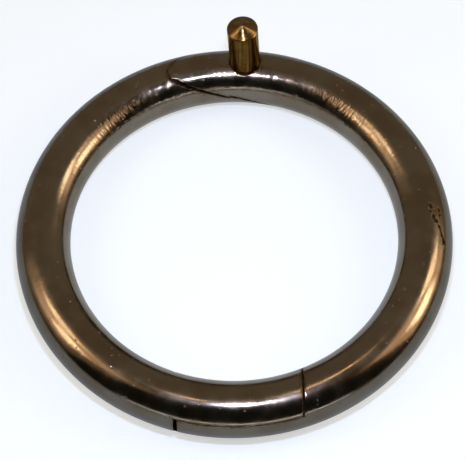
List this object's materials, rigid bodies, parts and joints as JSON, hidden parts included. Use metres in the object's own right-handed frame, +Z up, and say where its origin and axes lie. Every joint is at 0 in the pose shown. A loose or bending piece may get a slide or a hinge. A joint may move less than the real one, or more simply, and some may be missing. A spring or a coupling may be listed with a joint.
{
  "type": "bull nose ring",
  "caption": "Hinged metal nose ring for a bull, closed by a stepped scarf joint and a brass snap-off screw.",
  "frame": {"origin": "centre of the ring, on the surface that it lies on", "axes": "+Z up out of the ring's plane, along the hinge rivet; +Y from the hinge towards the scarf joint; +X towards the tongue half"},
  "size_m": [0.0762, 0.0762, 0.0203],
  "materials": {
    "plated_metal": "polished, slightly tarnished nickel tone",
    "rivet_metal": "peened and polished flush with the stock",
    "brass": "turned brass, drawn streaks along the grip"
  },
  "bodies": {
    "fork_side": {"fork_half": "plated_metal", "hinge_rivet": "rivet_metal"},
    "tongue_side": {"tongue_half": "plated_metal"},
    "screw": {"snap_screw": "brass"}
  },
  "joints": [
    {"name": "ring_hinge", "type": "hinge", "parent": "fork_side", "child": "tongue_side", "pos_m": [0, -0.03335, 0.00475], "axis": [0, 0, -1], "range_deg": [0, 145]},
    {"name": "snap_screw_travel", "type": "slide", "parent": "tongue_side", "child": "screw", "axis": [-0.0401, 0, 0.9992], "range_m": [-0.00225, 0.005]}
  ]
}
